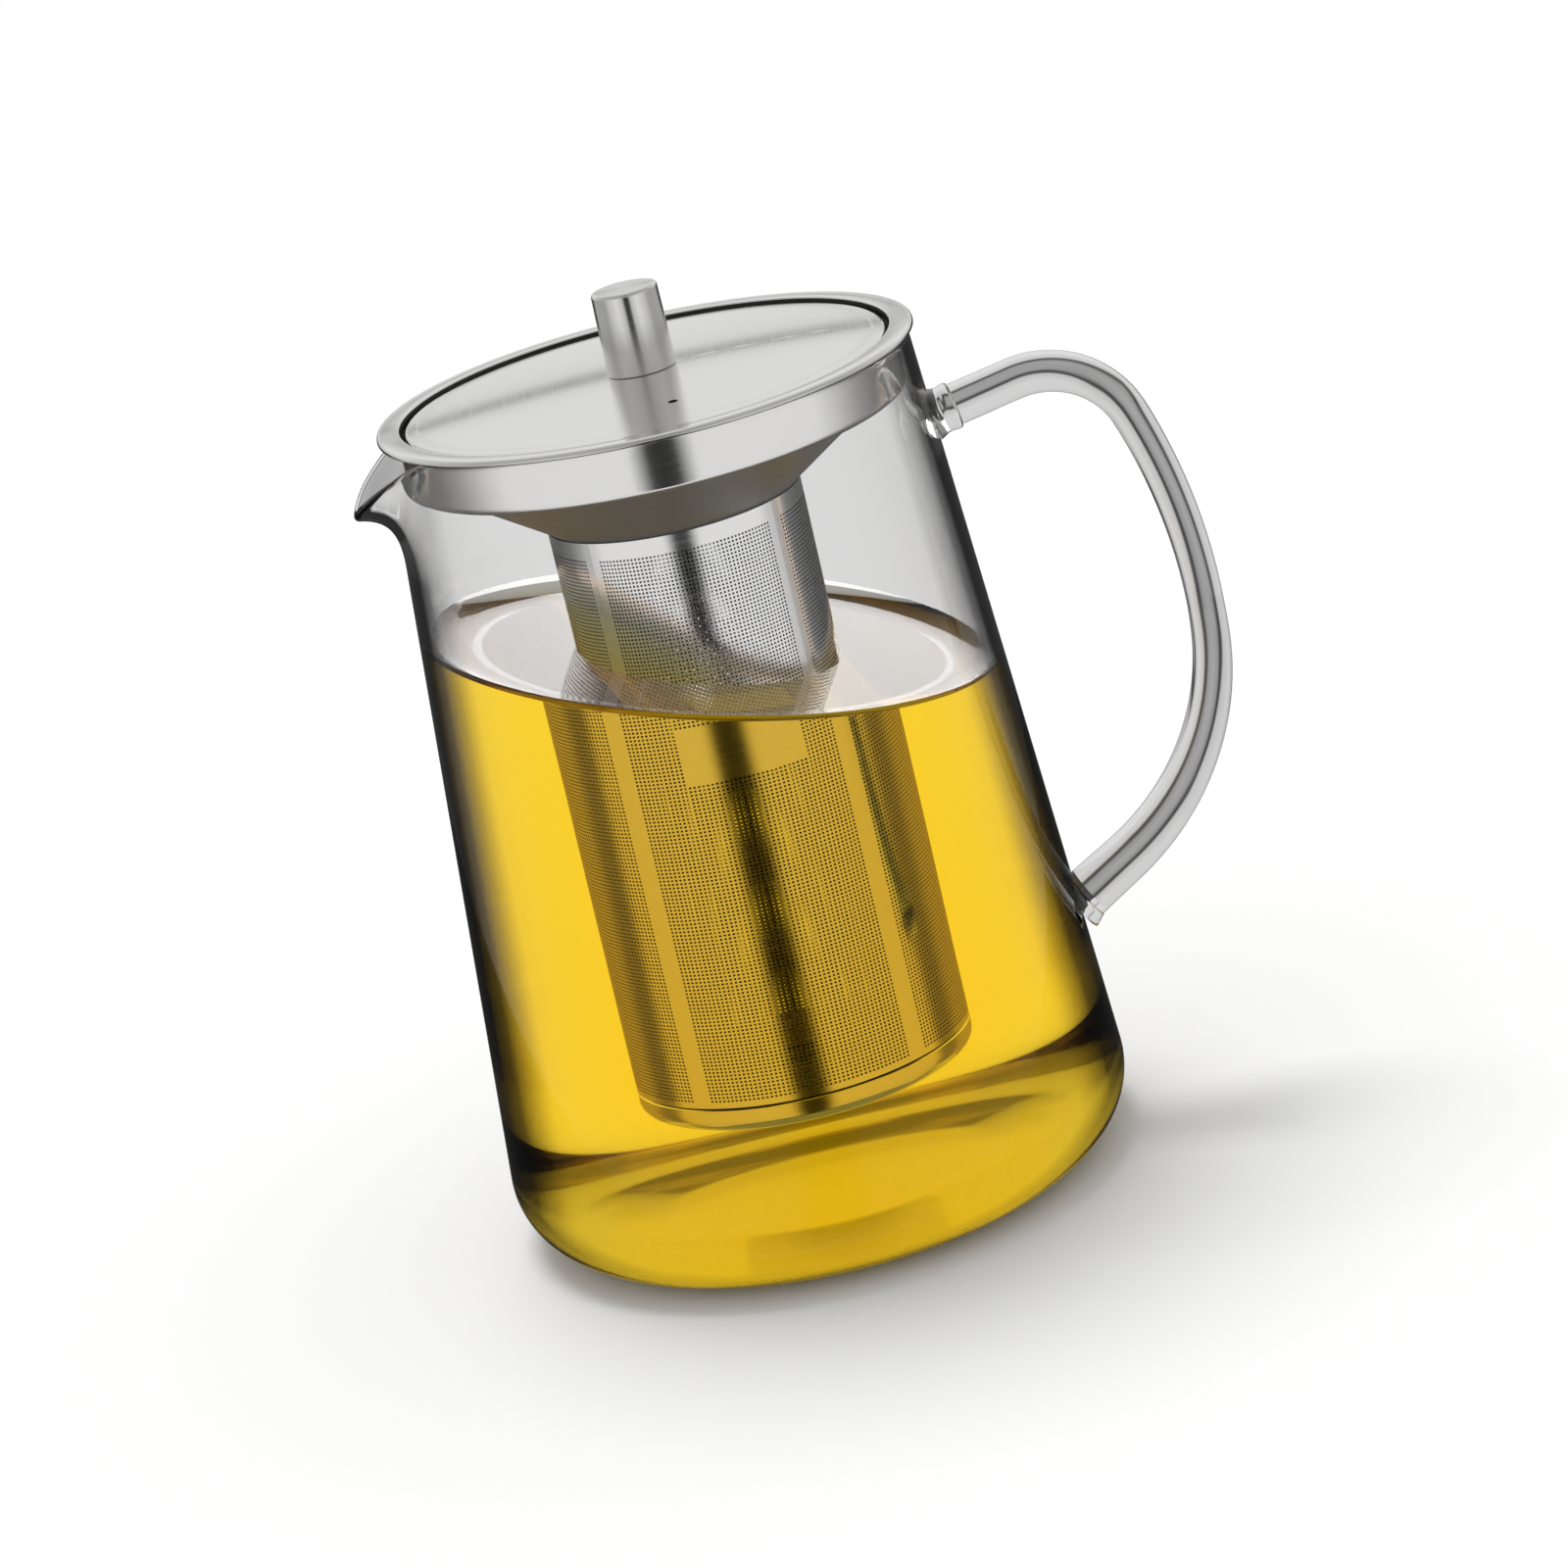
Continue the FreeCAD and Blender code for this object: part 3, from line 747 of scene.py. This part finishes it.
def make_world():
    """Plain white for the camera and the floor, and a studio of soft boxes for glass and metal.

    What a ray sees depends on its direction, on how many clear surfaces it has passed (the jug's
    wall, the tea or the pot's base) and on whether metal or glass has mirrored it.
    """
    world = bpy.data.worlds.new("studio")
    bpy.context.scene.world = world
    world.use_nodes = True
    tree = world.node_tree
    tree.nodes.clear()
    link = tree.links.new

    def math_node(operation, first, second=None):
        """Result of an operation on sockets or numbers."""
        made = tree.nodes.new("ShaderNodeMath")
        made.operation = operation
        for socket, value in zip(made.inputs, (first, second)):
            if isinstance(value, (int, float)):
                socket.default_value = value
            elif value is not None:
                link(value, socket)
        return made.outputs[0]

    def mixed(factor, off, on):
        """Light that is off or on by the factor, from sockets or levels."""
        made = tree.nodes.new("ShaderNodeMix")
        made.data_type = "RGBA"
        link(factor, made.inputs["Factor"])
        for name, value in (("A", off), ("B", on)):
            if isinstance(value, (int, float)):
                made.inputs[name].default_value = (value, value, value, 1)
            else:
                link(value, made.inputs[name])
        return made.outputs["Result"]

    def multiplied(first, second):
        """Product of two lights."""
        made = tree.nodes.new("ShaderNodeMix")
        made.data_type = "RGBA"
        made.blend_type = "MULTIPLY"
        made.inputs["Factor"].default_value = 1.0
        link(first, made.inputs["A"])
        link(second, made.inputs["B"])
        return made.outputs["Result"]

    where = tree.nodes.new("ShaderNodeTexCoord")
    split = tree.nodes.new("ShaderNodeSeparateXYZ")
    link(where.outputs["Generated"], split.inputs[0])
    turn = math_node("ARCTAN2", split.outputs["X"], math_node("MULTIPLY", split.outputs["Y"], -1))
    from_front = math_node("DIVIDE", math_node("ABSOLUTE", turn), math.pi)

    def ring(stops, source=from_front):
        """Light by angle from the front, in degrees."""
        ramp = color_ramp(tree, [(degrees / 180, grey(level)) for degrees, level in stops])
        link(source, ramp.inputs["Fac"])
        return ramp.outputs["Color"]

    height = split.outputs["Z"]
    light = tree.nodes.new("ShaderNodeLightPath")
    passed = light.outputs["Transmission Depth"]
    mirrors = light.outputs["Glossy Depth"]
    in_jug = math_node("GREATER_THAN", passed, JUG_PASSES)
    in_tea = math_node("GREATER_THAN", passed, TEA_PASSES)
    in_base = math_node("GREATER_THAN", passed, BASE_PASSES)
    upward = math_node("GREATER_THAN", height, UPWARD)
    downward = math_node("LESS_THAN", height, SLIT_TOP)
    steep = math_node("LESS_THAN", height, STEEP_HEIGHT)

    # Seen straight through the handle, the empty jug and the tea
    boxes = math_node("PINGPONG", from_front, BOX_SPACING / 180)
    tilt = math_node("ABSOLUTE", math_node("SUBTRACT", height, BOX_HEIGHT))
    boxes = math_node("MAXIMUM", boxes, math_node("MULTIPLY", tilt, BOX_TILT))
    thin = ring([(0, 0.45), (6, 0.36), (8.5, 0.09), (10.5, 0.07), (13, 0.65), (22.5, 0.8)], boxes)
    deep = ring([(0, 1.1), (35, 1.1), (60, 0.75), (120, 0.75), (145, 1.1), (180, 1.1)])
    deep = mixed(steep, deep, STEEP_TEA_LIGHT)
    through = mixed(in_tea, mixed(in_jug, thin, EMPTY_GLASS_LIGHT), deep)

    # Mirrored downward: knob and flange, then collar and strainer in the jug and in the tea
    low = ring([(0, 0.01), (6, 0.02), (15, 0.7), (35, 1.0), (65, 0.7), (80, 0.45), (130, 0.45),
                (145, 0.06), (180, 0.06)])
    low = mixed(math_node("LESS_THAN", height, HEM_HEIGHT), low, HEM_LIGHT)
    low_jug = ring([(0, 0.97), (75, 0.95), (85, 0.75), (101, 0.4), (115, 0.2), (135, 0.12), (180, 0.12)])
    low_tea = ring([(0, 0.95), (110, 0.9), (122, 0.3), (135, 0.3), (150, 0.6), (180, 0.6)])
    warm = tree.nodes.new("ShaderNodeRGB")
    warm.outputs[0].default_value = TEA_WARMTH
    low_tea = mixed(steep, multiplied(low_tea, warm.outputs[0]), STEEP_MIRROR_LIGHT)
    narrow = ring([(0, 0.03), (6, 0.05), (15, 1.0), (180, 1.0)])
    wide = ring([(0, 0.03), (9, 0.05), (18, 1.0), (180, 1.0)])
    in_slit = math_node("MULTIPLY", downward, math_node("GREATER_THAN", height, SLIT_BOTTOM))
    slit = mixed(in_slit, 1.0, mixed(in_tea, narrow, wide))
    low = mixed(in_jug, low, multiplied(mixed(in_tea, low_jug, low_tea), slit))

    # Mirrored upward: lid, then the tea's surface
    rise = tree.nodes.new("ShaderNodeMapRange")
    rise.inputs["From Min"].default_value = 0.0
    rise.inputs["From Max"].default_value = LID_HEIGHT
    link(height, rise.inputs["Value"])
    lid_light = color_ramp(tree, [(0.0, grey(0.85)), (0.38, grey(0.8)), (0.43, grey(0.22)),
                                  (0.46, grey(0.85)), (0.75, grey(0.9)), (1.0, grey(0.7))])
    link(rise.outputs["Result"], lid_light.inputs["Fac"])
    around = ring([(0, 0.4), (20, 0.6), (60, 0.7), (90, 0.6), (130, 0.9), (160, 1.0), (180, 1.0)])
    high = multiplied(lid_light.outputs["Color"], around)
    high_jug = ring([(0, 0.6), (90, 0.8), (140, 3.7), (180, 3.7)])
    high_jug = mixed(math_node("GREATER_THAN", height, MENISCUS_HEIGHT), high_jug, MENISCUS_LIGHT)
    high_tea = ring([(0, 0.8), (90, 0.8), (140, 1.2), (180, 1.2)])
    high = mixed(in_tea, mixed(in_jug, high, high_jug), high_tea)

    mirrored = mixed(upward, low, high)
    studio = mixed(math_node("GREATER_THAN", mirrors, ONE_MIRROR), through, mirrored)
    underneath = math_node("MULTIPLY", math_node("LESS_THAN", mirrors, TWO_MIRRORS), downward)
    studio = mixed(in_base, studio, mixed(underneath, BASE_LIGHT, BASE_SHADE))
    studio = mixed(light.outputs["Is Diffuse Ray"], studio, FLOOR_LIGHT)
    seen = mixed(light.outputs["Is Camera Ray"], studio, 1.0)
    shade = tree.nodes.new("ShaderNodeBackground")
    link(seen, shade.inputs["Color"])
    out = tree.nodes.new("ShaderNodeOutputWorld")
    link(shade.outputs[0], out.inputs["Surface"])


def make_lamp():
    """Broad lamp from above and behind that gives the pot its soft shadow on the floor."""
    data = bpy.data.lights.new("soft_lamp", "SUN")
    data.energy = LAMP_ENERGY
    data.angle = LAMP_ANGLE
    lamp = bpy.data.objects.new("soft_lamp", data)
    bpy.context.scene.collection.objects.link(lamp)
    lamp.rotation_euler = Vector(LAMP_DIRECTION).to_track_quat("-Z", "Y").to_euler()
    lamp.visible_glossy = False
    lamp.visible_transmission = False


def make_floor():
    """Pale floor that only the camera and soft light meet."""
    around = np.linspace(0, 2 * math.pi, FLOOR_SIDES, endpoint=False)
    level = np.full(FLOOR_SIDES, FLOOR_HEIGHT)
    ring = np.stack([FLOOR_RADIUS * np.cos(around), FLOOR_RADIUS * np.sin(around), level], 1)
    floor = add_object("floor", ring, [tuple(range(FLOOR_SIDES))])
    material = principled(
        "pale_floor", Base_Color=(0.97, 0.97, 0.97, 1), Roughness=1.0, Specular_IOR_Level=0.0)[0]
    floor.data.materials.append(material)
    floor.visible_transmission = False
    floor.visible_glossy = False


def make_camera():
    """Camera at the photograph's viewing angle, rolled by the pot's tip."""
    data = bpy.data.cameras.new("camera")
    data.sensor_width = CAMERA_SENSOR
    data.lens = CAMERA_LENS
    data.clip_start = 0.01
    camera = bpy.data.objects.new("camera", data)
    bpy.context.scene.collection.objects.link(camera)
    forward = Vector((0, math.cos(CAMERA_ELEVATION), -math.sin(CAMERA_ELEVATION)))
    up = Vector((0, math.sin(CAMERA_ELEVATION), math.cos(CAMERA_ELEVATION)))
    right = Vector((1, 0, 0))
    x_axis = right * math.cos(CAMERA_ROLL) + up * math.sin(CAMERA_ROLL)
    y_axis = up * math.cos(CAMERA_ROLL) - right * math.sin(CAMERA_ROLL)
    place = (Vector(CAMERA_AIM) - forward * CAMERA_DISTANCE) * MM
    camera.matrix_world = Matrix((
        (x_axis.x, y_axis.x, -forward.x, place.x),
        (x_axis.y, y_axis.y, -forward.y, place.y),
        (x_axis.z, y_axis.z, -forward.z, place.z),
        (0, 0, 0, 1),
    ))
    bpy.context.scene.camera = camera


def dress(node, material):
    """Give a CAD node its one material."""
    nodes[node].data.materials.clear()
    nodes[node].data.materials.append(material)


def add_piece(piece, material, body, node):
    """Let a piece ride on its body in place of a CAD node."""
    piece.data.materials.append(material)
    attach(piece, body)
    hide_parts(node)


make_camera()
make_world()
make_lamp()
make_floor()

# Glass and tea
clear = clear_material("clear_glass", GLASS_IOR, GLASS_COLOR, GLASS_DENSITY)
# The stops darken the jug's glass by its facing angle: painted edge shade.
jug_glass = clear_material("jug_glass", GLASS_IOR, GLASS_COLOR, GLASS_DENSITY, [
    (0.0, grey(1.0)), (0.46, grey(1.0)), (0.56, grey(0.45)), (0.66, grey(0.06)), (0.8, grey(0.02)),
    (1.0, grey(0.02))])
upper_weld, lower_weld = make_welds()
add_piece(make_jug(), jug_glass, "jug", "glass_body")
add_piece(make_handle(), clear, "jug", "glass_handle")
add_piece(upper_weld, clear, "jug", "upper_handle_weld")
add_piece(lower_weld, clear, "jug", "lower_handle_weld")
tea = make_tea()
# The stops darken the tea by its facing angle: painted edge shade.
tea.data.materials.append(clear_material("golden_tea", TEA_IOR, TEA_COLOR, TEA_DENSITY, [
    (0.0, (1.0, 1.0, 1.0)), (0.17, (1.0, 0.98, 0.95)), (0.2, (0.92, 0.86, 0.8)),
    (0.225, (0.6, 0.53, 0.47)), (0.25, (0.25, 0.21, 0.19)), (0.267, (0.1, 0.09, 0.09)),
    (1.0, (0.1, 0.09, 0.09))]))
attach(tea, "jug")

# Steel
polished = steel_material(
    "polished_steel", (0.77, 0.765, 0.755), (60, 60, 2600), rough=(0.07, 0.13), depth=0.0004)
satin = steel_material(
    "satin_steel", (0.37, 0.375, 0.385), (60, 60, 2600), rough=(0.3, 0.42), depth=0.001, metallic=0.4)
brushed = steel_material(
    "brushed_steel", (0.75, 0.745, 0.735), (2600, 25, 25), rough=(0.1, 0.15), depth=0.0002, flat=True)
turned = steel_material(
    "turned_steel", (0.74, 0.735, 0.725), (25, 25, 3200), rough=(0.12, 0.18), depth=0.0008, turned=True)
plain = steel_material(
    "plain_steel", (0.7, 0.695, 0.685), (25, 25, 2000), rough=(0.2, 0.3), depth=0.006, turned=True)
rolled = steel_material(
    "strainer_steel", (0.8, 0.795, 0.785), (40, 40, 900), rough=(0.12, 0.18), depth=0.0006)
# Near-black steel: painted shade for the gap inside the collar's mouth and for the strainer tube's
# inside.
painted_shade = steel_material(
    "painted_shade_steel", (0.06, 0.059, 0.058), (300, 300, 900), rough=(0.4, 0.6), depth=0.002)
collar = make_collar()
add_piece(collar, polished, "infuser", "infuser_collar")
collar.data.materials.append(painted_shade)
collar.data.materials.append(satin)
dress("lid_skirt", polished)
dress("lid_plate", brushed)
dress("lid_knob", turned)
dress("screw_washer", plain)
dress("knob_screw", plain)
dress("strainer_base", rolled)
for panel in range(PANELS):
    piece = make_strainer_panel(panel)
    add_piece(piece, rolled, "infuser", "strainer_tube")
    piece.data.materials.append(painted_shade)

bpy.context.scene.cycles.max_bounces = 24
bpy.context.scene.cycles.transmission_bounces = 24
bpy.context.scene.cycles.glossy_bounces = 8
bpy.context.scene.view_settings.view_transform = "Standard"
